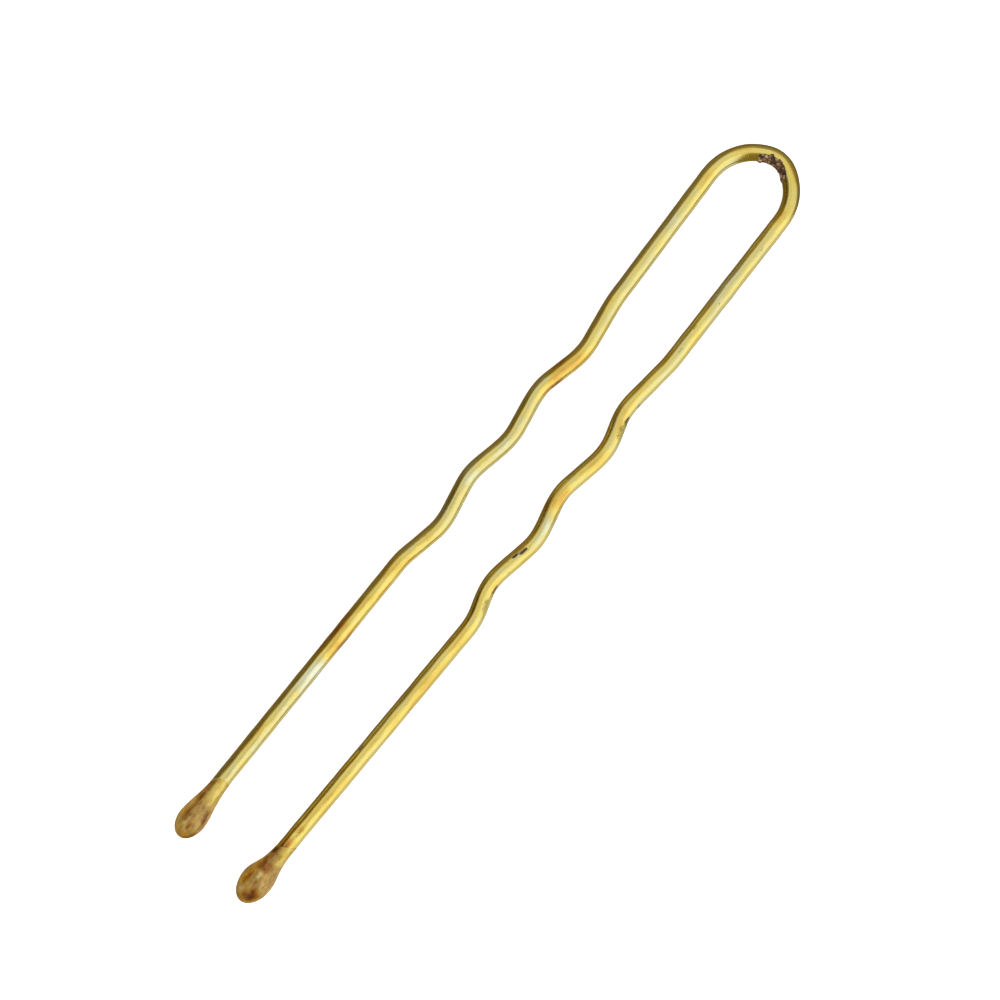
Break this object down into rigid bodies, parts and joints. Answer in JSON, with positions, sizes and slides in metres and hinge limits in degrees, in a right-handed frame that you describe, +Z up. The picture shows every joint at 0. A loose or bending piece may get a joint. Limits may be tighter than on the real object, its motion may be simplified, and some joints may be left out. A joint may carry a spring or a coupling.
{
  "type": "hairpin",
  "caption": "Waved U-shaped hairpin of round gold-tone wire, with a rounded crown, crimped legs that spring apart and drop-shaped dipped tips.",
  "frame": {"origin": "on the surface the pin lies on, under the middle of its length and width", "axes": "+X along the legs towards the crown, +Y to the left leg, +Z up out of the flat of the pin"},
  "size_m": [0.065, 0.0084, 0.0023],
  "materials": {
    "gold_wire": "round drawn steel wire with a glossy gold-tone lacquer, worn and tarnished in places",
    "dipped_resin": "amber-brown dipped resin, glossy, streaked and slightly see-through"
  },
  "bodies": {
    "crown": {"crown": "gold_wire"},
    "left_leg": {"left_leg": "gold_wire", "left_tip": "dipped_resin"},
    "right_leg": {"right_leg": "gold_wire", "right_tip": "dipped_resin"}
  },
  "joints": [
    {"name": "left_leg_flex", "type": "hinge", "parent": "crown", "child": "left_leg", "pos_m": [0.0241, 0.0029, 0.00115], "axis": [0, 0, -1], "range_deg": [-2, 8], "stiffness_Nm_per_rad": 0.8},
    {"name": "right_leg_flex", "type": "hinge", "parent": "crown", "child": "right_leg", "pos_m": [0.0241, -0.00304, 0.00115], "axis": [0, 0, 1], "range_deg": [-2, 8], "stiffness_Nm_per_rad": 0.8}
  ]
}
